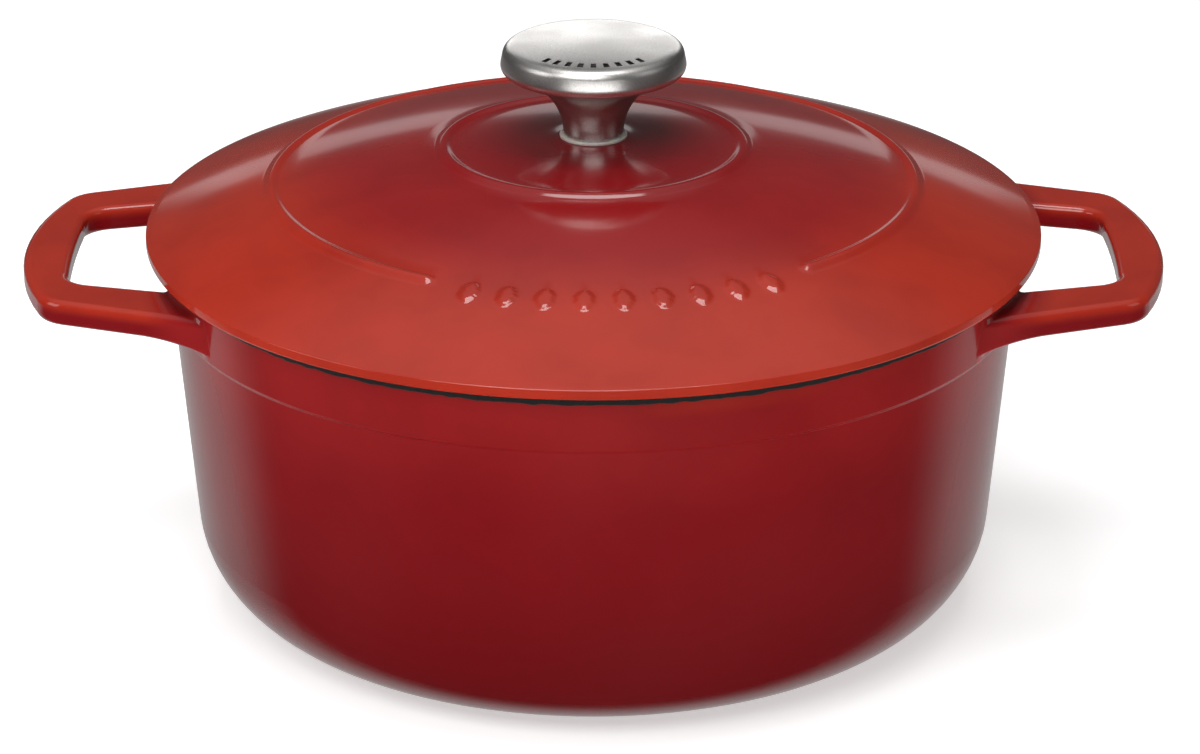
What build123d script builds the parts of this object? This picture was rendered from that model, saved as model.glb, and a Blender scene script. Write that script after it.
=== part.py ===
"""Round enamelled cast iron dutch oven, 26 cm: pot, lid, knob and the knob's fixings.

Millimetres, +Z up. The pot stands on z = 0, centred on the Z axis, with its two loop
handles along X. Round pieces are outlines of (radius, height) drawn on the XZ plane and
revolved about Z. Each piece is a solid of its own, written to parts/ under its own name.
"""

from build123d import *
import os
from math import hypot, sqrt

# Pot body
pot_height = 114.1
wall_foot_radius = 118.4  # the wall's outer line, carried down to z = 0
wall_draft = 0.085  # growth of the radius for each millimetre of height
wall_thickness = 4.1
floor_thickness = 4.6
base_round = 31.0  # outer curve from the wall to the base
inner_round = 27.0
foot_inner_radius = 83.0
foot_rise = 1.0  # hollow under the base, inside the foot ring
band_height = 18.5  # thicker band below the rim
band_step = 1.3
band_blend = 1.2
rim_round = 1.2

# Loop handles, cast in one with the pot
handle_reach = 171.0  # from the axis to the end of the handle
handle_top = 110.0
handle_thickness = 7.8
handle_root_half_width = 66.0
handle_end_half_width = 46.2
handle_corner_round = 12.0
handle_end_bow = 10.3
gap_reach = 156.4  # from the axis to the far side of the finger gap
gap_root_half_width = 42.8
gap_end_half_width = 30.4
gap_corner_round = 9.5
gap_end_bow = 1.2
root_drop = 6.0  # how much deeper the handle is where it meets the wall
root_sweep_start = 132.0  # where the underside begins to curve down to the wall
handle_edge_round = 2.5
root_blend = 2.6
root_depth = 22.0  # how far the arms run into the wall before the pot is hollowed

# Lid
lid_radius = 134.0
lid_seat = 114.4  # underside of the lip, just clear of the pot's rim
casting_thickness = 4.1
dome_radius = 345.0
dome_top = 144.7
lip_edge_inset = 2.2  # the dome ends this far in from the lid's edge
lip_drop = 1.0  # how far the dome's slope falls across the lip
lip_round = 1.7
skirt_clearance = 1.7  # play between the locating skirt and the pot's mouth
skirt_depth = 4.2
skirt_width = 3.8
skirt_round = 1.2
pad_radius = 11.0  # flat pad under the knob
pad_height = 144.7
boss_radius = 10.5  # thicker seat under the screw
boss_height = 139.6
clearance_hole_radius = 3.5
inner_bead_radius = 44.9
outer_bead_radius = 96.6
bead_width = 3.6
bead_height = 1.1
bead_round = 1.0
bead_sink = 1.6  # how far the raised work runs down into the lid
lid_turn = 5.0  # degrees that the lid stands turned on the pot
bead_opening = 68.0  # degrees left open in front, for the row of leaves
leaf_row_radius = 98.8
leaf_count = 9
leaf_pitch = 6.4  # degrees
leaf_length = 8.4
leaf_width = 4.8
leaf_round = 0.7

# Knob
knob_stem_radius = 9.0
knob_flare_radius = 19.0
knob_flare_height = 18.0
knob_rim_radius = 28.0
knob_rim_low = 20.0  # heights above the knob's foot
knob_rim_high = 27.5
knob_top = 29.1
knob_top_edge_radius = 26.6
knob_low_round = 2.6
knob_high_round = 3.4
knob_foot_round = 0.5
bore_radius = 3.0
bore_depth = 12.0

# Fixings, for an M6 screw
gasket_radius = 10.1
gasket_thickness = 0.9
gasket_round = 0.3
washer_radius = 6.2
washer_bore_radius = 3.25
washer_thickness = 1.6
washer_chamfer = 0.25
lock_washer_radius = 5.9
lock_washer_bore_radius = 3.1
lock_washer_thickness = 1.6
lock_washer_slit = 0.8
slit_lean = 1.6  # how far the slit leans over the washer's thickness
shank_radius = 2.94
shank_length = 20.0
tip_chamfer = 0.5
head_radius = 6.0
head_height = 4.0
head_round = 2.2
recess_depth = 2.3
recess_length = 6.4
recess_width = 1.2
recess_taper = 8.0  # degrees

# Worked out from the sizes above
gasket_top = pad_height + gasket_thickness
knob_foot = gasket_top
lock_washer_top = boss_height - washer_thickness
head_seat = lock_washer_top - lock_washer_thickness
mouth_radius = wall_foot_radius + wall_draft * pot_height - wall_thickness
skirt_radius = mouth_radius - skirt_clearance
shoulder_radius = lid_radius - lip_edge_inset
handle_low = handle_top - handle_thickness
band_low = pot_height - band_height
rim_radius = wall_foot_radius + wall_draft * pot_height + band_step


def wall_radius(z):
    """Outer radius of the tapered wall at height z."""
    return wall_foot_radius + wall_draft * z


def dome_height(radius, inset=0.0):
    """Height of the lid's outer dome at a radius, or of a dome that far inside it."""
    return dome_top - dome_radius + sqrt((dome_radius - inset) ** 2 - radius**2)


def corner_at(outline, radius, z):
    """The corner of an outline that lies at this radius and height."""
    return outline.vertices().sort_by_distance((radius, z))[0]


def loop_outline(reach, root_half_width, end_half_width, end_bow, corner_round, root, z):
    """Plan of a handle, or of its finger gap: it narrows outwards to a slightly bowed end."""
    end = reach - end_bow
    with BuildSketch(Plane.XY.offset(z)) as plan:
        with BuildLine():
            Polyline((end, end_half_width), (root, root_half_width), (root, -root_half_width),
                     (end, -end_half_width))
            ThreePointArc((end, -end_half_width), (reach, 0), (end, end_half_width))
        make_face()
        fillet(plan.vertices().group_by(Axis.X)[-1], corner_round)
    return plan.sketch


def at_handle_root(edge):
    """True for an edge along which a handle's arm meets the pot's wall."""
    middle = edge.center()
    beside_wall = abs(hypot(middle.X, middle.Y) - rim_radius) < 5
    beside_arm = abs(middle.Y) > 20 and abs(middle.X) > 90
    return beside_wall and beside_arm and handle_low - root_drop < middle.Z < pot_height - rim_round


os.makedirs("parts", exist_ok=True)

# One loop handle on the +X side. It runs into the wall and is cut back when the pot is hollowed.
root_x = wall_radius(handle_top) - root_depth
with BuildPart() as handle:
    add(loop_outline(handle_reach, handle_root_half_width, handle_end_half_width,
                     handle_end_bow, handle_corner_round, root_x, handle_low - root_drop))
    extrude(amount=handle_thickness + root_drop)
    add(loop_outline(gap_reach, gap_root_half_width, gap_end_half_width,
                     gap_end_bow, gap_corner_round, root_x, handle_low - root_drop))
    extrude(amount=handle_thickness + root_drop, mode=Mode.SUBTRACT)
    fillet(handle.faces().sort_by(Axis.Z)[-1].edges().filter_by(lambda e: e.center().X > root_x + 0.1),
           handle_edge_round)
    with BuildSketch(Plane.XZ.offset(-handle_root_half_width)) as under_handle:
        with BuildLine():
            flat = Line((handle_reach + 1, handle_low), (root_sweep_start, handle_low))
            sweep_down = TangentArc(flat @ 1, (root_x, handle_low - root_drop), tangent=(-1, 0))
            Polyline(sweep_down @ 1, (root_x, handle_low - root_drop - 1),
                     (handle_reach + 1, handle_low - root_drop - 1), flat @ 0)
        make_face()
    extrude(amount=2 * handle_root_half_width, mode=Mode.SUBTRACT)
    under_faces = handle.faces().filter_by(lambda f: f.normal_at().Z < -0.5)
    under_edges = [e for e in under_faces.edges() if e.center().X > root_x + 0.1]
    outer_edges = [e for e in under_edges if len(under_faces.filter_by(lambda f: e in f.edges())) == 1]
    fillet(outer_edges, handle_edge_round)

# The pot: one casting of wall, floor and both handles
with BuildPart() as pot:
    with BuildSketch(Plane.XZ) as outside:
        with BuildLine():
            Polyline((0, foot_rise), (foot_inner_radius - 2 * foot_rise, foot_rise),
                     (foot_inner_radius, 0), (wall_foot_radius, 0),
                     (wall_radius(band_low), band_low),
                     (wall_radius(band_low) + band_step, band_low + band_step),
                     (rim_radius, pot_height), (0, pot_height), close=True)
        make_face()
        fillet(corner_at(outside, wall_foot_radius, 0), base_round)
        fillet(corner_at(outside, wall_radius(band_low), band_low), band_blend)
        fillet(corner_at(outside, wall_radius(band_low) + band_step, band_low + band_step), band_blend)
        fillet(corner_at(outside, rim_radius, pot_height), rim_round)
    revolve(axis=Axis.Z)
    add(handle.part)
    mirror(handle.part, about=Plane.YZ)
    fillet(pot.edges().filter_by(at_handle_root), root_blend)
    with BuildSketch(Plane.XZ) as inside:
        with BuildLine():
            Polyline((0, floor_thickness), (wall_radius(floor_thickness) - wall_thickness, floor_thickness),
                     (mouth_radius, pot_height), (0, pot_height), close=True)
        make_face()
        fillet(corner_at(inside, wall_radius(floor_thickness) - wall_thickness, floor_thickness),
               inner_round)
    revolve(axis=Axis.Z, mode=Mode.SUBTRACT)
    fillet(pot.edges().filter_by(GeomType.CIRCLE).filter_by(
        lambda e: abs(e.radius - mouth_radius) < 0.01), rim_round)
pot.part.label = "pot"
export_step(pot.part, "parts/pot.step")

# Raised work on the lid: a closed inner bead, an outer bead open in front, leaves in its opening
front = -90 + lid_turn
dome_centre = (0, 0, dome_top - dome_radius)
with BuildPart() as relief:
    with BuildSketch(Plane.XY.offset(dome_height(inner_bead_radius) - bead_sink)):
        Circle(inner_bead_radius + bead_width / 2)
        Circle(inner_bead_radius - bead_width / 2, mode=Mode.SUBTRACT)
    extrude(amount=2 * bead_sink + bead_height)
    with BuildSketch(Plane.XY.offset(dome_height(outer_bead_radius) - bead_sink)):
        with BuildLine() as bead_line:
            CenterArc((0, 0), outer_bead_radius, front + bead_opening / 2, 360 - bead_opening)
        SlotArc(bead_line.edge(), bead_width)
        with PolarLocations(leaf_row_radius, leaf_count,
                            front - leaf_pitch * (leaf_count - 1) / 2, leaf_pitch * (leaf_count - 1),
                            endpoint=True):
            Ellipse(leaf_length / 2, leaf_width / 2)
    extrude(amount=2 * bead_sink + bead_height)
    with Locations(dome_centre):
        Sphere(dome_radius + bead_height, mode=Mode.INTERSECT)
    crowns = relief.faces().filter_by(GeomType.SPHERE).sort_by(SortBy.AREA)
    fillet(crowns[:leaf_count].edges(), leaf_round)
    fillet(relief.faces().filter_by(GeomType.SPHERE).sort_by(SortBy.AREA)[leaf_count:].edges(), bead_round)

# Lid: a thin dome with a rounded lip, a locating skirt, a pad and a boss for the knob's screw
skirt_inner = skirt_radius - skirt_width
half_way = lid_radius / 2
with BuildPart() as lid:
    with BuildSketch(Plane.XZ) as section:
        with BuildLine():
            Polyline((pad_radius, dome_height(pad_radius)), (pad_radius, pad_height),
                     (clearance_hole_radius, pad_height), (clearance_hole_radius, boss_height),
                     (boss_radius, boss_height),
                     (boss_radius, dome_height(boss_radius, casting_thickness)))
            ThreePointArc((boss_radius, dome_height(boss_radius, casting_thickness)),
                          (half_way, dome_height(half_way, casting_thickness)),
                          (skirt_inner, dome_height(skirt_inner, casting_thickness)))
            Polyline((skirt_inner, dome_height(skirt_inner, casting_thickness)),
                     (skirt_inner, lid_seat - skirt_depth), (skirt_radius, lid_seat - skirt_depth),
                     (skirt_radius, lid_seat), (lid_radius, lid_seat),
                     (lid_radius, dome_height(shoulder_radius) - lip_drop),
                     (shoulder_radius, dome_height(shoulder_radius)))
            ThreePointArc((shoulder_radius, dome_height(shoulder_radius)),
                          (half_way, dome_height(half_way)),
                          (pad_radius, dome_height(pad_radius)))
        make_face()
        fillet(corner_at(section, skirt_inner, lid_seat - skirt_depth), skirt_round)
        fillet(corner_at(section, skirt_radius, lid_seat - skirt_depth), skirt_round)
        fillet(corner_at(section, lid_radius, lid_seat), lip_round)
        fillet(corner_at(section, shoulder_radius, dome_height(shoulder_radius)), lip_round)
    revolve(axis=Axis.Z)
    add(relief.part)
lid.part.label = "lid"
export_step(lid.part, "parts/lid.step")

# Knob: a mushroom turned from bar, with a flared stem and a blind tapped hole
with BuildPart() as knob:
    with BuildSketch(Plane.XZ) as turned:
        with BuildLine():
            stem_end = (knob_stem_radius + knob_flare_radius
                        - sqrt(knob_flare_radius**2 - knob_flare_height**2),
                        knob_foot + knob_flare_height)
            Polyline((0, knob_foot + knob_top), (0, knob_foot), (knob_stem_radius, knob_foot))
            TangentArc((knob_stem_radius, knob_foot), stem_end, tangent=(0, 1))
            Polyline(stem_end, (knob_rim_radius, knob_foot + knob_rim_low),
                     (knob_top_edge_radius, knob_foot + knob_rim_high))
            TangentArc((0, knob_foot + knob_top), (knob_top_edge_radius, knob_foot + knob_rim_high),
                       tangent=(1, 0))
        make_face()
        fillet(corner_at(turned, knob_rim_radius, knob_foot + knob_rim_low), knob_low_round)
        fillet(corner_at(turned, knob_top_edge_radius, knob_foot + knob_rim_high), knob_high_round)
        fillet(corner_at(turned, knob_stem_radius, knob_foot), knob_foot_round)
    revolve(axis=Axis.Z)
    with BuildSketch(Plane.XY.offset(knob_foot)):
        Circle(bore_radius)
    extrude(amount=bore_depth, mode=Mode.SUBTRACT)
knob.part.label = "knob"
export_step(knob.part, "parts/knob.step")

# Gasket between the knob and the enamel
with BuildPart() as gasket:
    with BuildSketch(Plane.XY.offset(pad_height)):
        Circle(gasket_radius)
        Circle(clearance_hole_radius, mode=Mode.SUBTRACT)
    extrude(amount=gasket_thickness)
    fillet(gasket.edges().filter_by(GeomType.CIRCLE).sort_by(SortBy.RADIUS)[-2:], gasket_round)
gasket.part.label = "knob_gasket"
export_step(gasket.part, "parts/knob_gasket.step")

# Flat washer under the lid's boss
with BuildPart() as flat_washer:
    with BuildSketch(Plane.XY.offset(lock_washer_top)):
        Circle(washer_radius)
        Circle(washer_bore_radius, mode=Mode.SUBTRACT)
    extrude(amount=washer_thickness)
    chamfer(flat_washer.edges().filter_by(GeomType.CIRCLE).sort_by(SortBy.RADIUS)[-2:], washer_chamfer)
flat_washer.part.label = "flat_washer"
export_step(flat_washer.part, "parts/flat_washer.step")

# Split lock washer, pressed flat by the screw
with BuildPart() as lock_washer:
    with BuildSketch(Plane.XY.offset(head_seat)):
        Circle(lock_washer_radius)
        Circle(lock_washer_bore_radius, mode=Mode.SUBTRACT)
    extrude(amount=lock_washer_thickness)
    with BuildSketch(Plane.XZ) as slit:
        with BuildLine():
            half_slit = lock_washer_slit / 2
            Polyline((-half_slit - slit_lean, head_seat), (half_slit - slit_lean, head_seat),
                     (half_slit, lock_washer_top), (-half_slit, lock_washer_top), close=True)
        make_face()
    extrude(amount=-lock_washer_radius - 1, mode=Mode.SUBTRACT)
lock_washer.part.label = "lock_washer"
export_step(lock_washer.part, "parts/lock_washer.step")

# M6 pan head screw, driven from under the lid
with BuildPart() as screw:
    with BuildSketch(Plane.XY.offset(head_seat - head_height)):
        Circle(head_radius)
    extrude(amount=head_height)
    fillet(screw.edges().group_by(Axis.Z)[0], head_round)
    with BuildSketch(Plane.XY.offset(head_seat)):
        Circle(shank_radius)
    extrude(amount=shank_length)
    chamfer(screw.edges().group_by(Axis.Z)[-1], tip_chamfer)
    with BuildSketch(Plane.XY.offset(head_seat - head_height)):
        Rectangle(recess_length, recess_width)
        Rectangle(recess_width, recess_length)
    extrude(amount=recess_depth, taper=recess_taper, mode=Mode.SUBTRACT)
screw.part.label = "knob_screw"
export_step(screw.part, "parts/knob_screw.step")
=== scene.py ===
import math

import bpy
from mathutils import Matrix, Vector


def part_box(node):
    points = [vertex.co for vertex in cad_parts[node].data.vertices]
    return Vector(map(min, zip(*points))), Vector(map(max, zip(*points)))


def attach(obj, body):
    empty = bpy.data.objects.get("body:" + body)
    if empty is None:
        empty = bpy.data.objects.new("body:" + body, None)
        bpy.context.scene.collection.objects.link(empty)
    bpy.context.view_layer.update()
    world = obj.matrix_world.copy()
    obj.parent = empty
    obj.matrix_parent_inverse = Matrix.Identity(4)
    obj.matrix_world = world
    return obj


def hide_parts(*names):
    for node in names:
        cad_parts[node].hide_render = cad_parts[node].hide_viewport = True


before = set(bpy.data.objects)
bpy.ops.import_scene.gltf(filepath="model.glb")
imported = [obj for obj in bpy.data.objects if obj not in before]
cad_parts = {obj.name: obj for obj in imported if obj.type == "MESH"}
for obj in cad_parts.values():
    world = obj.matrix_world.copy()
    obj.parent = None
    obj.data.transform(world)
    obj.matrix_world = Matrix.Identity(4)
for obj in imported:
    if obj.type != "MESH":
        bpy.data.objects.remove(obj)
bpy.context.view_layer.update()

MM = 0.001

# Heights and radii that the frame gives
lid_low, lid_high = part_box("lid")
knob_low, knob_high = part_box("knob")
gasket_low, gasket_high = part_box("knob_gasket")
flat_washer_low, flat_washer_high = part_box("flat_washer")
lock_washer_low, lock_washer_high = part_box("lock_washer")
screw_low, screw_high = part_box("knob_screw")

# Lid
LID_RADIUS = lid_high.x
LID_SEAT = 114.4 * MM
DOME_RADIUS = 345 * MM
DOME_TOP = gasket_low.z
CASTING = 4.1 * MM
DOME_EDGE = LID_RADIUS - 2.2 * MM
LIP_DROP = 1.0 * MM
LIP_ROUND = 1.7 * MM
SKIRT_OUTER = 122.3 * MM
SKIRT_INNER = 118.5 * MM
SKIRT_ROUND = 1.2 * MM
PAD_RADIUS = 11.0 * MM
BOSS_RADIUS = 10.5 * MM
HOLE_RADIUS = 3.5 * MM
INNER_BEAD = 44.9 * MM
OUTER_BEAD = 96.6 * MM
BEAD_REACH = 2.9 * MM  # how far each side of its line a bead runs out into the dome
BEAD_HEIGHT = 1.15 * MM
LID_TURN = math.radians(5)
BEAD_OPENING = math.radians(68)
LEAF_ROW = 98.8 * MM
LEAF_COUNT = 9
LEAF_PITCH = math.radians(6.4)
LEAF_CREST_LENGTH = 3.5 * MM  # half lengths of the flat of a leaf, before its soft edge
LEAF_CREST_WIDTH = 1.7 * MM
LEAF_EDGE = 1.9 * MM
LEAF_HEIGHT = 0.95 * MM
LID_STEPS = 640
FRONT = math.radians(-90) + LID_TURN
MERGE = 0.002 * MM  # points nearer than this become one

# Pot, for the border between its red and cream enamel
WALL_TAPER = 0.085
CORNER_RADIUS = 89 * MM
CORNER_HEIGHT = 30 * MM

# Knob
KNOB_STEM = 9.0 * MM
KNOB_FLARE = 19.0 * MM
KNOB_FLARE_HEIGHT = 18.0 * MM
KNOB_RIM = 28.0 * MM
KNOB_RIM_LOW = 20.0 * MM
KNOB_RIM_HIGH = 27.5 * MM
KNOB_TOP_EDGE = 26.6 * MM
KNOB_FOOT = knob_low.z
KNOB_EDGE_HEIGHT = KNOB_FOOT + KNOB_RIM_HIGH
KNOB_RISE = knob_high.z - KNOB_EDGE_HEIGHT
KNOB_CROWN = (KNOB_TOP_EDGE**2 + KNOB_RISE**2) / (2 * KNOB_RISE)  # radius of the domed top
BORE_RADIUS = 3.0 * MM
BORE_DEPTH = 12.0 * MM
KNOB_STEPS = 288
MARK_COUNT = 9
MARK_INNER = 19.6 * MM
MARK_OUTER = 22.8 * MM
MARK_WIDTH = 4  # faces, of the KNOB_STEPS round the knob
MARK_SPACING = 8
MARK_DEPTH = 0.4 * MM

# Screw and washers
THREAD_PITCH = 1.0 * MM
THREAD_CREST = 2.93 * MM
THREAD_ROOT = 2.4 * MM
THREAD_STEPS = 48  # round each turn
HEAD_HEIGHT = 4.0 * MM
HEAD_CROWN = 2.2 * MM  # round of the pan head's outer corner
RECESS = (6.4 * MM, 1.2 * MM, 4.6 * MM)  # length, width and height of one wing of the cross bit
RECESS_TAPER = (0.78, 0.7, 1)
FLAT_WASHER_BORE = 3.25 * MM
LOCK_WASHER_BORE = 3.1 * MM
SLIT = (0.8 * MM, 4 * MM, 4 * MM)
SLIT_PLACE = (-0.8 * MM, 4.5 * MM)
SLIT_LEAN = math.radians(45)


# ---------------------------------------------------------------- modelling

def start_edit(piece):
    """Enter edit mode on one piece, with nothing else selected."""
    bpy.ops.object.select_all(action="DESELECT")
    bpy.context.view_layer.objects.active = piece
    piece.select_set(True)
    bpy.ops.object.mode_set(mode="EDIT")
    bpy.ops.mesh.select_all(action="DESELECT")


def pick(piece, kind, wanted):
    """In edit mode, select the vertices or faces of a piece for which wanted(place) is true."""
    bpy.ops.mesh.select_all(action="DESELECT")
    bpy.ops.mesh.select_mode(type=kind)
    bpy.ops.object.mode_set(mode="OBJECT")
    elements = piece.data.vertices if kind == "VERT" else piece.data.polygons
    for element in elements:
        place = element.co if kind == "VERT" else element.center
        element.select = wanted(place)
    bpy.ops.object.mode_set(mode="EDIT")


def corner_round(before, corner, after, radius, steps=6):
    """Points of the arc that rounds off one corner of an outline."""
    corner = Vector(corner)
    back = (Vector(before) - corner).normalized()
    ahead = (Vector(after) - corner).normalized()
    half = back.angle(ahead) / 2
    centre = corner + (back + ahead).normalized() * (radius / math.sin(half))
    start = corner + back * (radius / math.tan(half)) - centre
    end = corner + ahead * (radius / math.tan(half)) - centre
    first = math.atan2(start.y, start.x)
    turn = (math.atan2(end.y, end.x) - first + math.pi) % (2 * math.pi) - math.pi
    angles = [first + turn * step / steps for step in range(steps + 1)]
    return [(centre.x + radius * math.cos(a), centre.y + radius * math.sin(a)) for a in angles]


def outline(corners):
    """Outline points from corners of (radius, height, round), where a round of 0 is left sharp."""
    points = []
    for i, (radius, height, blend) in enumerate(corners):
        if blend:
            after = corners[(i + 1) % len(corners)]
            points += corner_round(corners[i - 1][:2], (radius, height), after[:2], blend)
        else:
            points.append((radius, height))
    return points


def turn_piece(name, points, steps):
    """Turn an outline of (radius, height) points once round the Z axis."""
    bpy.ops.object.select_all(action="DESELECT")
    bpy.ops.mesh.primitive_circle_add(vertices=3, radius=MM)
    piece = bpy.context.object
    piece.name = name
    piece.data.name = name
    bpy.ops.object.mode_set(mode="EDIT")
    bpy.ops.mesh.select_mode(type="VERT")
    bpy.ops.mesh.select_all(action="SELECT")
    bpy.ops.mesh.merge(type="CENTER")
    bpy.ops.transform.translate(value=(points[0][0], 0, points[0][1]))
    for here, there in zip(points, points[1:]):
        step = (there[0] - here[0], 0, there[1] - here[1])
        bpy.ops.mesh.extrude_vertices_move(TRANSFORM_OT_translate={"value": step})
    bpy.ops.mesh.select_all(action="SELECT")
    bpy.ops.mesh.spin(steps=steps, angle=2 * math.pi, center=(0, 0, 0), axis=(0, 0, 1))
    bpy.ops.mesh.select_all(action="SELECT")
    bpy.ops.mesh.remove_doubles(threshold=MERGE)
    bpy.ops.mesh.normals_make_consistent(inside=False)
    bpy.ops.object.mode_set(mode="OBJECT")
    return piece


def smooth(piece, degrees=40):
    """Shade a piece smooth, except over edges sharper than the angle."""
    bpy.ops.object.select_all(action="DESELECT")
    bpy.context.view_layer.objects.active = piece
    piece.select_set(True)
    bpy.ops.object.shade_smooth_by_angle(angle=math.radians(degrees))


def fit(piece, body, slot, finish, *nodes):
    """Give a finished piece its material and its body, and hide the frame nodes it stands for. The
    slot is not used.
    """
    piece.data.materials.clear()
    piece.data.materials.append(finish)
    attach(piece, body)
    if nodes:
        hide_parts(*nodes)


def dome(radius, inset=0.0):
    """Height of the lid's outer dome at a radius, or of a dome that far inside it."""
    return DOME_TOP - DOME_RADIUS + math.sqrt((DOME_RADIUS - inset) ** 2 - radius**2)


def spread(first, last, pitch):
    """Evenly spaced radii from first to last, no further apart than pitch."""
    count = math.ceil(abs(last - first) / pitch)
    return [first + (last - first) * i / count for i in range(count + 1)]


# ---------------------------------------------------------------- pieces

def make_lid():
    """The lid's casting: turned, then its beads and leaves drawn up softly out of the dome."""
    fine = 0.46 * MM  # pitch of the rings where the casting has relief
    coarse = 4.5 * MM
    on_line = fine * 0.6  # how near a vertex lies to a line to be on it
    top_skin = 1.5 * MM
    bead_in, bead_out = INNER_BEAD - BEAD_REACH, INNER_BEAD + BEAD_REACH
    row_in, row_out = OUTER_BEAD - BEAD_REACH, LEAF_ROW + LEAF_CREST_LENGTH + LEAF_EDGE
    radii = spread(PAD_RADIUS + 0.6 * MM, bead_in, coarse)[:-1]
    radii += spread(bead_in, bead_out, fine)[:-1]
    radii += spread(bead_out, row_in, coarse)[:-1]
    radii += spread(row_in, row_out, fine)[:-1]
    radii += spread(row_out, DOME_EDGE - 3 * MM, coarse)
    edge = dome(DOME_EDGE)
    corners = [(HOLE_RADIUS, DOME_TOP, 0.3 * MM), (PAD_RADIUS, DOME_TOP, 0)]
    corners += [(radius, dome(radius), 0) for radius in radii]
    corners += [
        (DOME_EDGE, edge, LIP_ROUND),
        (LID_RADIUS, edge - LIP_DROP, 0.4 * MM),
        (LID_RADIUS, LID_SEAT, LIP_ROUND * 0.7),
        (SKIRT_OUTER, LID_SEAT, 0.4 * MM),
        (SKIRT_OUTER, lid_low.z, SKIRT_ROUND),
        (SKIRT_INNER, lid_low.z, SKIRT_ROUND),
    ]
    under = spread(SKIRT_INNER, BOSS_RADIUS + 1.5 * MM, 8 * MM)
    corners += [(radius, dome(radius, CASTING), 0) for radius in under]
    corners += [
        (BOSS_RADIUS, flat_washer_high.z, 0.5 * MM),
        (HOLE_RADIUS, flat_washer_high.z, 0.3 * MM),
    ]
    points = outline(corners)
    lid = turn_piece("lid_casting", points + points[:1], LID_STEPS)

    def offset(place):
        """Distance from the axis, and angle from the middle of the front opening."""
        angle = math.atan2(place.y, place.x) - FRONT
        return math.hypot(place.x, place.y), (angle + math.pi) % (2 * math.pi) - math.pi

    def on_top(place):
        return place.z > dome(min(math.hypot(place.x, place.y), DOME_EDGE)) - top_skin

    def draw_up(wanted, height, reach):
        pick(lid, "VERT", wanted)
        bpy.ops.transform.translate(value=(0, 0, height), use_proportional_edit=True,
                                    proportional_edit_falloff="SMOOTH", proportional_size=reach)

    start_edit(lid)
    half_row = LEAF_PITCH * (LEAF_COUNT + 1) / 2

    def in_leaf_row(place):
        radius, angle = offset(place)
        return row_in < radius < row_out and abs(angle) < half_row and on_top(place)

    pick(lid, "FACE", in_leaf_row)
    bpy.ops.mesh.subdivide(number_cuts=1)

    def on_inner_bead(place):
        return abs(offset(place)[0] - INNER_BEAD) < on_line and on_top(place)

    def on_outer_bead(place):
        radius, angle = offset(place)
        return (abs(radius - OUTER_BEAD) < on_line and abs(angle) > BEAD_OPENING / 2
                and on_top(place))

    draw_up(on_inner_bead, BEAD_HEIGHT, BEAD_REACH)
    draw_up(on_outer_bead, BEAD_HEIGHT, BEAD_REACH)
    for i in range(LEAF_COUNT):
        middle = LEAF_PITCH * (i - (LEAF_COUNT - 1) / 2)

        def on_leaf(place):
            radius, angle = offset(place)
            along = (radius - LEAF_ROW) / LEAF_CREST_LENGTH
            across = (angle - middle) * LEAF_ROW / LEAF_CREST_WIDTH
            return abs(along) <= 1 and abs(across) <= 1 - along**2 and on_top(place)

        draw_up(on_leaf, LEAF_HEIGHT, LEAF_EDGE)
    pick(lid, "VERT", in_leaf_row)
    bpy.ops.mesh.vertices_smooth(factor=0.5, repeat=5)
    bpy.ops.object.mode_set(mode="OBJECT")
    smooth(lid)
    return lid


def make_knob():
    """The knob, turned from bar, with a row of small engraved bars near the front of its top."""
    foot = KNOB_FOOT
    flare = [(KNOB_STEM + KNOB_FLARE - math.sqrt(KNOB_FLARE**2 - height**2), foot + height, 0)
             for height in spread(1.0 * MM, KNOB_FLARE_HEIGHT, 1.2 * MM)]

    def top(radius):
        return knob_high.z - KNOB_CROWN + math.sqrt(KNOB_CROWN**2 - radius**2)

    rings = spread(MARK_OUTER, 0.0, 1.5 * MM)
    rings = [MARK_OUTER] + [r for r in rings if r < MARK_INNER - 0.5 * MM]
    rings.insert(1, MARK_INNER)
    corners = [(0, foot + BORE_DEPTH, 0), (BORE_RADIUS, foot + BORE_DEPTH, 0),
               (BORE_RADIUS, foot, 0.2 * MM), (KNOB_STEM, foot, 0.5 * MM)]
    corners += flare
    corners += [
        (KNOB_RIM, foot + KNOB_RIM_LOW, 2.6 * MM),
        (KNOB_TOP_EDGE, KNOB_EDGE_HEIGHT, 3.4 * MM),
    ]
    corners += [(radius, top(radius), 0) for radius in rings]
    points = outline(corners)
    knob = turn_piece("knob_turned", points, KNOB_STEPS)

    face_angle = 2 * math.pi / KNOB_STEPS
    first = -MARK_SPACING * (MARK_COUNT - 1) / 2 - MARK_WIDTH / 2

    def on_mark(place):
        radius = math.hypot(place.x, place.y)
        along = (math.atan2(place.y, place.x) + math.pi / 2) / face_angle - first
        return (MARK_INNER < radius < MARK_OUTER and place.z > KNOB_EDGE_HEIGHT - 3 * MM
                and 0 <= along < MARK_SPACING * MARK_COUNT and along % MARK_SPACING < MARK_WIDTH)

    start_edit(knob)
    pick(knob, "FACE", on_mark)
    bpy.ops.mesh.inset(thickness=0.1 * MM, depth=0)
    bpy.ops.mesh.extrude_region_move(TRANSFORM_OT_translate={"value": (0, 0, -MARK_DEPTH)})
    bpy.ops.object.mode_set(mode="OBJECT")
    smooth(knob, 30)
    return knob


def make_ring(name, inner, outer, low, high, edge, steps=96):
    """A flat ring with rounded edges, such as a gasket or a washer."""
    corners = [(inner, low, edge), (outer, low, edge), (outer, high, edge), (inner, high, edge)]
    points = outline(corners)
    ring = turn_piece(name, points + points[:1], steps)
    smooth(ring, 50)
    return ring


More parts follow.
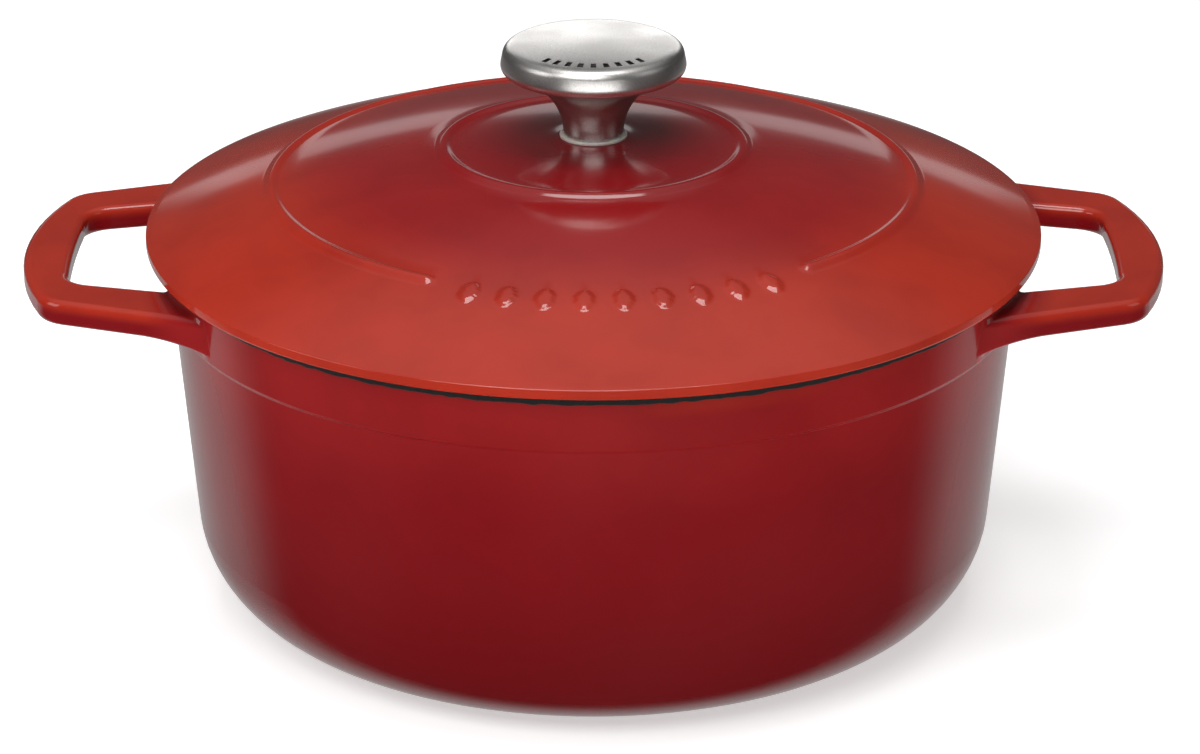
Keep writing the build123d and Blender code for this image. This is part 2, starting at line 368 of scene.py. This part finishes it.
def make_lock_washer():
    """A split spring washer: a flat ring cut through by a leaning slit."""
    washer = make_ring("spring_washer", LOCK_WASHER_BORE, lock_washer_high.x, lock_washer_low.z,
                       lock_washer_high.z, 0.15 * MM, 120)
    bpy.ops.object.select_all(action="DESELECT")
    middle = (lock_washer_low.z + lock_washer_high.z) / 2
    bpy.ops.mesh.primitive_cube_add(size=1, location=(0, 0, 0))
    saw = bpy.context.object
    bpy.ops.object.mode_set(mode="EDIT")
    bpy.ops.mesh.select_all(action="SELECT")
    bpy.ops.transform.resize(value=SLIT)
    bpy.ops.transform.rotate(value=SLIT_LEAN, orient_axis="Y", center_override=(0, 0, 0))
    bpy.ops.transform.translate(value=(*SLIT_PLACE, middle))
    bpy.ops.object.mode_set(mode="OBJECT")
    cut(washer, saw)
    smooth(washer, 30)
    return washer


def cut(piece, tool):
    """Cut a tool's shape out of a piece, and throw the tool away."""
    modifier = piece.modifiers.new("Cut", "BOOLEAN")
    modifier.operation = "DIFFERENCE"
    modifier.solver = "EXACT"
    modifier.object = tool
    bpy.ops.object.select_all(action="DESELECT")
    bpy.context.view_layer.objects.active = piece
    bpy.ops.object.modifier_apply(modifier=modifier.name)
    bpy.data.objects.remove(tool)


def make_screw():
    """The pan head screw: head and core turned, a cross recess cut, and a rolled thread wound on."""
    under_head = screw_low.z + HEAD_HEIGHT
    head = screw_high.x
    corners = [(0, screw_low.z, 0), (head * 0.55, screw_low.z, 0), (head, screw_low.z, HEAD_CROWN),
               (head, under_head, 0.25 * MM), (THREAD_ROOT, under_head, 0),
               (THREAD_ROOT, screw_high.z - 0.5 * MM, 0), (THREAD_ROOT - 0.5 * MM, screw_high.z, 0),
               (0, screw_high.z, 0)]
    screw = turn_piece("knob_screw_m6", outline(corners), 96)
    for turned in (0, 90):
        bpy.ops.object.select_all(action="DESELECT")
        bpy.ops.mesh.primitive_cube_add(size=1, location=(0, 0, 0))
        bit = bpy.context.object
        bpy.ops.object.mode_set(mode="EDIT")
        bpy.ops.mesh.select_all(action="SELECT")
        bpy.ops.transform.resize(value=RECESS)
        pick(bit, "FACE", lambda place: place.z > 2 * MM)
        bpy.ops.transform.resize(value=RECESS_TAPER)
        bpy.ops.mesh.select_all(action="SELECT")
        bpy.ops.transform.rotate(value=math.radians(turned), orient_axis="Z",
                                 center_override=(0, 0, 0))
        bpy.ops.transform.translate(value=(0, 0, screw_low.z))
        bpy.ops.object.mode_set(mode="OBJECT")
        cut(screw, bit)
    thread = wind_thread(under_head + 0.8 * MM, screw_high.z - 0.4 * MM)
    bpy.ops.object.select_all(action="DESELECT")
    thread.select_set(True)
    screw.select_set(True)
    bpy.context.view_layer.objects.active = screw
    bpy.ops.object.join()
    smooth(screw, 35)
    return screw


def wind_thread(low, high):
    """A vee thread ridge wound up the shank between two heights, closed at both ends."""
    turns = int((high - low) / THREAD_PITCH) - 1
    bpy.ops.object.select_all(action="DESELECT")
    bpy.ops.mesh.primitive_circle_add(vertices=4, radius=MM)
    thread = bpy.context.object
    bpy.ops.object.mode_set(mode="EDIT")
    bpy.ops.mesh.select_mode(type="VERT")
    bpy.ops.mesh.select_all(action="SELECT")
    bpy.ops.mesh.merge(type="CENTER")
    inner = THREAD_ROOT - 0.15 * MM
    # Corners of the vee: radius, and height as a share of the pitch
    section = [(inner, 0), (THREAD_CREST, 0.38), (THREAD_CREST, 0.52), (inner, 0.9)]
    bpy.ops.transform.translate(value=(section[0][0], 0, low + section[0][1] * THREAD_PITCH))
    for here, there in zip(section, section[1:] + section[:1]):
        step = (there[0] - here[0], 0, (there[1] - here[1]) * THREAD_PITCH)
        bpy.ops.mesh.extrude_vertices_move(TRANSFORM_OT_translate={"value": step})
    bpy.ops.mesh.select_all(action="SELECT")
    bpy.ops.mesh.remove_doubles(threshold=MERGE)
    bpy.ops.object.mode_set(mode="OBJECT")
    winding = thread.modifiers.new("Wind", "SCREW")
    winding.axis = "Z"
    winding.steps = THREAD_STEPS
    winding.render_steps = THREAD_STEPS
    winding.iterations = turns
    winding.screw_offset = THREAD_PITCH
    bpy.ops.object.modifier_apply(modifier=winding.name)
    start_edit(thread)
    bpy.ops.mesh.select_all(action="SELECT")
    bpy.ops.mesh.remove_doubles(threshold=MERGE)
    bpy.ops.mesh.select_all(action="DESELECT")
    bpy.ops.mesh.select_mode(type="EDGE")
    bpy.ops.mesh.select_non_manifold()
    bpy.ops.mesh.fill()
    bpy.ops.mesh.select_all(action="SELECT")
    bpy.ops.mesh.normals_make_consistent(inside=False)
    bpy.ops.object.mode_set(mode="OBJECT")
    return thread


# ---------------------------------------------------------------- finishes

class Finish:
    """A material under construction: nodes are added by short calls that return sockets."""

    def __init__(self, name):
        self.material = bpy.data.materials.new(name)
        self.material.use_nodes = True
        self.nodes = self.material.node_tree.nodes
        self.links = self.material.node_tree.links
        self.shader = self.nodes["Principled BSDF"]
        self.place = self.add("ShaderNodeTexCoord").outputs["Object"]

    def add(self, kind, **settings):
        node = self.nodes.new(kind)
        for name, value in settings.items():
            setattr(node, name, value)
        return node

    def feed(self, socket, value):
        if isinstance(value, bpy.types.NodeSocket):
            self.links.new(value, socket)
        else:
            socket.default_value = value

    def set(self, **values):
        for name, value in values.items():
            self.feed(self.shader.inputs[name.replace("_", " ")], value)

    def math(self, operation, *values):
        node = self.add("ShaderNodeMath", operation=operation)
        for socket, value in zip(node.inputs, values):
            self.feed(socket, value)
        return node.outputs["Value"]

    def vector(self, operation, *values):
        node = self.add("ShaderNodeVectorMath", operation=operation)
        for socket, value in zip(node.inputs, values):
            self.feed(socket, value)
        return node.outputs["Value" if operation == "LENGTH" else "Vector"]

    def axis(self, name):
        """Place along the X, Y or Z axis."""
        node = self.add("ShaderNodeSeparateXYZ")
        self.feed(node.inputs[0], self.place)
        return node.outputs[name]

    def radius(self):
        """Distance from the pot's axis."""
        flat = self.vector("MULTIPLY", self.place, (1, 1, 0))
        return self.vector("LENGTH", flat)

    def noise(self, scale, detail=2.0, roughness=0.5, place=None):
        """Noise with about scale lumps to the metre."""
        node = self.add("ShaderNodeTexNoise")
        self.feed(node.inputs["Vector"], place or self.place)
        node.inputs["Scale"].default_value = scale
        node.inputs["Detail"].default_value = detail
        node.inputs["Roughness"].default_value = roughness
        return node.outputs[0]

    def ramp(self, value, low, high, low_to=0.0, high_to=1.0):
        """Soft step: value from low to high gives low_to to high_to, held at both ends."""
        node = self.add("ShaderNodeMapRange", interpolation_type="SMOOTHSTEP")
        for socket, number in zip(node.inputs, (value, low, high, low_to, high_to)):
            self.feed(socket, number)
        return node.outputs[0]

    def mix(self, share, first, second):
        """Colour between first and second by share."""
        node = self.add("ShaderNodeMix", data_type="RGBA", clamp_factor=True)
        self.feed(node.inputs["Factor"], share)
        self.feed(node.inputs[6], first)
        self.feed(node.inputs[7], second)
        return node.outputs[2]

    def blend(self, share, first, second):
        """Number between first and second by share."""
        node = self.add("ShaderNodeMix", data_type="FLOAT", clamp_factor=True)
        self.feed(node.inputs["Factor"], share)
        self.feed(node.inputs[2], first)
        self.feed(node.inputs[3], second)
        return node.outputs[0]

    def bump(self, height, distance, strength=1.0, below=None):
        """Raise the surface by height times distance, on top of the bump below."""
        node = self.add("ShaderNodeBump")
        self.feed(node.inputs["Height"], height)
        node.inputs["Distance"].default_value = distance
        node.inputs["Strength"].default_value = strength
        if below:
            self.feed(node.inputs["Normal"], below)
        return node.outputs["Normal"]


CRIMSON = (0.215, 0.0055, 0.0085, 1)
DEEP_CRIMSON = (0.135, 0.0035, 0.0055, 1)
RED = (0.31, 0.012, 0.013, 1)
ORANGE_RED = (0.45, 0.030, 0.013, 1)
CREAM = (0.72, 0.64, 0.50, 1)
CREAM_SPECK = (0.45, 0.36, 0.25, 1)
# Matt black of the ground coat, which on the pot's brim also stands as painted shadow under the
# lid's lip
BLACK_GROUND_AND_SHADOW = (0.009, 0.008, 0.008, 1)
WORN_BLACK_AND_SHADOW = (0.034, 0.031, 0.030, 1)
STEEL = (0.53, 0.51, 0.49, 1)
BRIGHT_STEEL = (0.72, 0.70, 0.68, 1)
CLOUDED_STEEL = (0.58, 0.56, 0.54, 1)
ENGRAVED = (0.05, 0.045, 0.04, 1)
ZINC = (0.52, 0.52, 0.50, 1)
YELLOWED_ZINC = (0.62, 0.59, 0.52, 1)
ZINC_GRAIN = (0.30, 0.29, 0.27, 1)
SILICONE = (0.62, 0.55, 0.52, 1)
PALE_SILICONE = (0.72, 0.67, 0.63, 1)


def glaze(finish, colour, inside, matt_black_and_shadow):
    """Shared enamel: red glass outside, cream glass inside, and matt black ground coat where the
    last mask is set, which on the pot's brim is also painted shadow under the lid's lip.
    """
    mottled = finish.noise(38, 3)
    colour = finish.mix(finish.ramp(mottled, 0.35, 0.75, 0.0, 0.22), colour, DEEP_CRIMSON)
    speck = finish.noise(900, 2)
    cream = finish.mix(finish.ramp(speck, 0.66, 0.74, 0.0, 0.35), CREAM, CREAM_SPECK)
    colour = finish.mix(inside, colour, cream)
    dark = finish.mix(finish.noise(1400, 3), BLACK_GROUND_AND_SHADOW, WORN_BLACK_AND_SHADOW)
    colour = finish.mix(matt_black_and_shadow, colour, dark)
    flow = finish.noise(16, 2)
    gloss = finish.ramp(flow, 0.3, 0.7, 0.10, 0.16)
    peel = finish.noise(330, 2, 0.45)
    waves = finish.noise(60, 1)
    skin = finish.bump(waves, 0.00010, 0.3)
    skin = finish.bump(peel, 0.000022, 0.2, skin)
    grain = finish.noise(2600, 3, 0.7)
    rough_skin = finish.math("MULTIPLY", grain, matt_black_and_shadow)
    skin = finish.bump(rough_skin, 0.00012, 0.8, skin)
    finish.set(Base_Color=colour, Roughness=finish.blend(matt_black_and_shadow, gloss, 0.62), Normal=skin)
    finish.set(Coat_Weight=0.25, Coat_Roughness=0.05)
    return finish.material


def lid_enamel():
    """Enamel of the lid: dark crimson under the knob, fading out to orange red at the lip."""
    finish = Finish("lid_red_enamel")
    radius = finish.radius()
    drift = finish.ramp(finish.noise(11, 2), 0.2, 0.8, -0.006, 0.006)
    wandering = finish.math("ADD", radius, drift)
    colour = finish.mix(finish.ramp(wandering, 0.020, 0.062), CRIMSON, RED)
    colour = finish.mix(finish.ramp(wandering, 0.070, 0.108), colour, ORANGE_RED)
    # The underside is what lies inside the dome, in from the lip
    dome_centre = (0, 0, DOME_TOP - DOME_RADIUS)
    ball = finish.vector("LENGTH", finish.vector("SUBTRACT", finish.place, dome_centre))
    wobble = finish.ramp(finish.noise(260, 2), 0, 1, -0.0004, 0.0004)
    under = finish.ramp(ball, DOME_RADIUS - 2.2 * MM, DOME_RADIUS - 1.8 * MM, 1, 0)
    under = finish.math("MULTIPLY", under, finish.ramp(radius, 0.1318, 0.1322, 1, 0))
    edge = finish.math("ADD", radius, wobble)
    ground = finish.math("MULTIPLY", under, finish.ramp(edge, 0.1176, 0.1182))
    return glaze(finish, colour, under, ground)


def pot_enamel():
    """Enamel of the pot: crimson wall, darker towards the bottom as painted shade and lighter on the
    band as painted light; handles with crimson sides as painted shade and orange red tops as painted
    light; cream inside.
    """
    finish = Finish("pot_red_enamel")
    radius = finish.radius()
    height = finish.axis("Z")
    drift = finish.ramp(finish.noise(9, 2), 0.2, 0.8, -0.008, 0.008)
    # Painted shade darkens the wall towards the bottom, and painted light brightens the band at the
    # top
    painted_shade_level = finish.math("ADD", height, drift)
    colour = finish.mix(finish.ramp(painted_shade_level, 0.0, 0.075), DEEP_CRIMSON, CRIMSON)
    colour = finish.mix(finish.ramp(painted_shade_level, 0.070, 0.112), colour, RED)
    reach = finish.math("ADD", radius, drift)
    # Handles: crimson sides are painted shade, orange red tops are painted light from above
    on_handle = finish.ramp(reach, 0.130, 0.140)
    colour = finish.mix(on_handle, colour, CRIMSON)
    painted_lit_handle_top = finish.math("MULTIPLY", on_handle, finish.ramp(height, 0.1055, 0.1095))
    colour = finish.mix(painted_lit_handle_top, colour, ORANGE_RED)
    # The inside is what lies within a surface in the middle of the wall: a leaning wall on a
    # rounded corner, whose centre is CORNER_RADIUS out and CORNER_HEIGHT up
    taper = finish.math("MULTIPLY", height, WALL_TAPER)
    out = finish.math("SUBTRACT", finish.math("SUBTRACT", radius, taper), CORNER_RADIUS)
    out = finish.math("MAXIMUM", out, 0.0)
    down = finish.math("MAXIMUM", finish.math("SUBTRACT", CORNER_HEIGHT, height), 0.0)
    squares = finish.math("ADD", finish.math("POWER", out, 2.0), finish.math("POWER", down, 2.0))
    inside = finish.ramp(finish.math("SQRT", squares), 0.0272, 0.0276, 1, 0)
    wobble = finish.ramp(finish.noise(240, 2), 0, 1, -0.0005, 0.0005)
    # Matt black brim: the real black rim, run on down the outside as painted shadow under the lid's
    # lip
    brim_and_painted_shadow = finish.ramp(finish.math("ADD", height, wobble), 0.1109, 0.1114)
    foot = finish.ramp(finish.math("ADD", height, wobble), 0.0004, 0.0010, 1, 0)
    return glaze(finish, colour, inside, finish.math("MAXIMUM", brim_and_painted_shadow, foot))


def brushed_steel():
    """Satin stainless steel with the fine rings of turning, and dark engraved marks."""
    finish = Finish("satin_turned_steel")
    ring_place = finish.add("ShaderNodeCombineXYZ")
    finish.feed(ring_place.inputs["X"], finish.radius())
    finish.feed(ring_place.inputs["Z"], finish.axis("Z"))
    rings = finish.noise(5200, 2, 0.6, ring_place.outputs[0])
    grain = finish.noise(2400, 3, 0.7)
    cloud = finish.noise(70, 2)
    tone = finish.mix(finish.ramp(grain, 0.3, 0.7), STEEL, BRIGHT_STEEL)
    tone = finish.mix(finish.ramp(cloud, 0.3, 0.7, 0, 0.35), tone, CLOUDED_STEEL)
    crown_centre = (0, 0, knob_high.z - KNOB_CROWN)
    depth = finish.vector("LENGTH", finish.vector("SUBTRACT", finish.place, crown_centre))
    # Dark where the metal lies below the knob's crown, which is only in the marks
    sunk = finish.ramp(depth, KNOB_CROWN - 0.34 * MM, KNOB_CROWN - 0.12 * MM, 1, 0)
    on_top = finish.ramp(finish.radius(), 0.0236, 0.0240, 1, 0)
    on_top = finish.math("MULTIPLY", on_top, finish.ramp(finish.axis("Z"), 0.1725, 0.1728))
    tone = finish.mix(finish.math("MULTIPLY", sunk, on_top), tone, ENGRAVED)
    gloss = finish.ramp(cloud, 0.3, 0.7, 0.30, 0.38)
    skin = finish.bump(rings, 0.000012, 0.5)
    skin = finish.bump(grain, 0.00002, 0.5, skin)
    finish.set(Base_Color=tone, Metallic=1.0, Roughness=gloss, Normal=skin)
    return finish.material


def zinc_steel():
    """Plated fixing steel: slightly yellowed grey with a fine grain."""
    finish = Finish("zinc_plated_steel")
    grain = finish.noise(1800, 3, 0.6)
    patch = finish.noise(240, 2)
    tone = finish.mix(finish.ramp(patch, 0.35, 0.65), ZINC, YELLOWED_ZINC)
    tone = finish.mix(finish.ramp(grain, 0.55, 0.75, 0, 0.4), tone, ZINC_GRAIN)
    finish.set(Base_Color=tone, Metallic=1.0, Roughness=finish.ramp(patch, 0.3, 0.7, 0.25, 0.42),
               Normal=finish.bump(grain, 0.00001, 0.5))
    return finish.material


def pale_silicone():
    """Slightly translucent pale silicone of the gasket under the knob."""
    finish = Finish("pale_silicone")
    cloud = finish.noise(420, 2)
    tone = finish.mix(finish.ramp(cloud, 0.3, 0.7), SILICONE, PALE_SILICONE)
    finish.set(Base_Color=tone, Roughness=finish.ramp(cloud, 0.3, 0.7, 0.42, 0.55),
               Normal=finish.bump(finish.noise(1500, 2), 0.00001, 0.5))
    finish.set(Subsurface_Weight=0.25, Subsurface_Scale=0.002)
    return finish.material


# ---------------------------------------------------------------- stage

AIM = Vector((1.94, 0, 66.9)) * MM
CAMERA_DISTANCE = 1.4
CAMERA_ELEVATION = math.radians(22.25)
LENS = 137.9
SENSOR_WIDTH = 36
WHITE = (1, 1, 1, 1)
FLOOR_GLOW = 0.55
WORLD_FILL = 0.03
BACKDROP = 0.92


def place_camera():
    camera_data = bpy.data.cameras.new("camera")
    camera_data.lens = LENS
    camera_data.sensor_width = SENSOR_WIDTH
    camera_data.clip_end = 50
    camera = bpy.data.objects.new("camera", camera_data)
    bpy.context.scene.collection.objects.link(camera)
    away = Vector((0, -math.cos(CAMERA_ELEVATION), math.sin(CAMERA_ELEVATION)))
    camera.location = AIM + away * CAMERA_DISTANCE
    camera.rotation_euler = (math.pi / 2 - CAMERA_ELEVATION, 0, 0)
    bpy.context.scene.camera = camera


def lay_floor():
    """A plain pale floor, kept out of the glaze's reflections, which it would wash out."""
    bpy.ops.object.select_all(action="DESELECT")
    bpy.ops.mesh.primitive_plane_add(size=16, location=(0, 0, -0.0003))
    floor = bpy.context.object
    floor.name = "floor"
    bpy.ops.object.transform_apply(location=True, rotation=True, scale=True)
    finish = Finish("pale_floor")
    tone = finish.mix(finish.noise(3, 2), (0.86, 0.86, 0.86, 1), (0.90, 0.90, 0.90, 1))
    finish.set(Base_Color=tone, Roughness=0.9, Specular_IOR_Level=0.0)
    finish.set(Emission_Color=WHITE, Emission_Strength=FLOOR_GLOW)
    floor.data.materials.append(finish.material)
    floor.visible_glossy = False


def add_softbox(name, place, aim, width, height, power):
    """A white rectangular light at a place, turned towards aim. Power is in watts."""
    light_data = bpy.data.lights.new(name, "AREA")
    light_data.shape = "RECTANGLE"
    light_data.size = width
    light_data.size_y = height
    light_data.energy = power
    light = bpy.data.objects.new(name, light_data)
    bpy.context.scene.collection.objects.link(light)
    light.location = place
    light.rotation_euler = (Vector(aim) - Vector(place)).to_track_quat("-Z", "Y").to_euler()
    return light


def hang_lights(knob):
    """Four softboxes for the whole object, and two cards that light only the knob."""
    add_softbox("key_softbox", (-0.4, -1.3, 1.5), (0, 0, 0.1), 1.5, 0.9, 19)
    add_softbox("overhead_softbox", (0, -0.15, 1.7), (0, 0, 0.1), 1.0, 0.55, 10)
    add_softbox("left_softbox", (-1.7, -0.5, 1.0), (0, 0, 0.08), 0.9, 0.9, 5.5)
    add_softbox("right_softbox", (1.7, -0.5, 1.0), (0, 0, 0.08), 0.9, 0.9, 2)
    card = add_softbox("knob_card", (0, 2.0, 0.66), (0, 0, 0.16), 1.6, 0.6, 6.5)
    rim_card = add_softbox("rim_card", (0, -1.25, 0.12), (0, 0, 0.165), 1.5, 0.24, 5)
    shown_to = bpy.data.collections.new("lit_by_cards")
    shown_to.objects.link(knob)
    card.light_linking.receiver_collection = shown_to
    rim_card.light_linking.receiver_collection = shown_to


def light_studio():
    """Studio surround: dark round the camera, pale overhead and low at the back, and a nearly
    white backdrop that only the camera sees."""
    world = bpy.data.worlds.new("studio")
    bpy.context.scene.world = world
    world.use_nodes = True
    nodes, links = world.node_tree.nodes, world.node_tree.links
    background = nodes["Background"]
    coordinates = nodes.new("ShaderNodeTexCoord")
    split = nodes.new("ShaderNodeSeparateXYZ")
    links.new(coordinates.outputs["Generated"], split.inputs[0])

    def soft_step(value, low, high, low_to, high_to):
        node = nodes.new("ShaderNodeMapRange")
        node.interpolation_type = "SMOOTHSTEP"
        links.new(value, node.inputs[0])
        for socket, number in zip(node.inputs[1:], (low, high, low_to, high_to)):
            socket.default_value = number
        return node.outputs[0]

    def join(operation, first, second=0.0):
        node = nodes.new("ShaderNodeMath")
        node.operation = operation
        for socket, value in zip(node.inputs, (first, second)):
            if isinstance(value, bpy.types.NodeSocket):
                links.new(value, socket)
            else:
                socket.default_value = value
        return node.outputs[0]

    across, ahead, up = (split.outputs[name] for name in "XYZ")
    behind = soft_step(ahead, 0.15, 0.55, 0.0, 1.0)
    low_glow = join("MULTIPLY", behind, soft_step(up, -0.34, -0.16, 0.42, 0.04))
    band = join("MULTIPLY", soft_step(up, 0.080, 0.105, 0.0, 0.58),
                soft_step(up, 0.180, 0.205, 1.0, 0.0))
    width = soft_step(join("ABSOLUTE", across), 0.24, 0.31, 1.0, 0.0)
    band = join("MULTIPLY", join("MULTIPLY", band, width), behind)
    ceiling = join("MULTIPLY", soft_step(up, 0.55, 0.92, 0.0, 0.42),
                   soft_step(ahead, -0.45, -0.25, 0.3, 1.0))
    glow = join("ADD", join("ADD", low_glow, band), join("ADD", ceiling, WORLD_FILL))
    seen = nodes.new("ShaderNodeLightPath").outputs["Is Camera Ray"]
    brightness = join("MAXIMUM", glow, join("MULTIPLY", seen, BACKDROP))
    links.new(brightness, background.inputs["Strength"])
    background.inputs["Color"].default_value = WHITE


# ---------------------------------------------------------------- build

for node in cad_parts.values():
    node.select_set(False)

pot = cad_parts["pot"]
pot.data.materials.clear()
pot.data.materials.append(pot_enamel())

fixing_steel = zinc_steel()
fit(make_lid(), "lid", "lid_enamel", lid_enamel(), "lid")
knob = make_knob()
fit(knob, "knob", "knob_steel", brushed_steel(), "knob")
fit(make_ring("silicone_gasket", HOLE_RADIUS, gasket_high.x, gasket_low.z, gasket_high.z, 0.3 * MM),
    "lid", "gasket", pale_silicone(), "knob_gasket")
fit(make_ring("plain_washer", FLAT_WASHER_BORE, flat_washer_high.x, flat_washer_low.z,
              flat_washer_high.z, 0.25 * MM),
    "screw", "fastener_steel", fixing_steel, "flat_washer")
fit(make_lock_washer(), "screw", "fastener_steel", fixing_steel, "lock_washer")
fit(make_screw(), "screw", "fastener_steel", fixing_steel, "knob_screw")

lay_floor()
hang_lights(knob)
light_studio()
place_camera()
bpy.context.scene.view_settings.view_transform = "Standard"
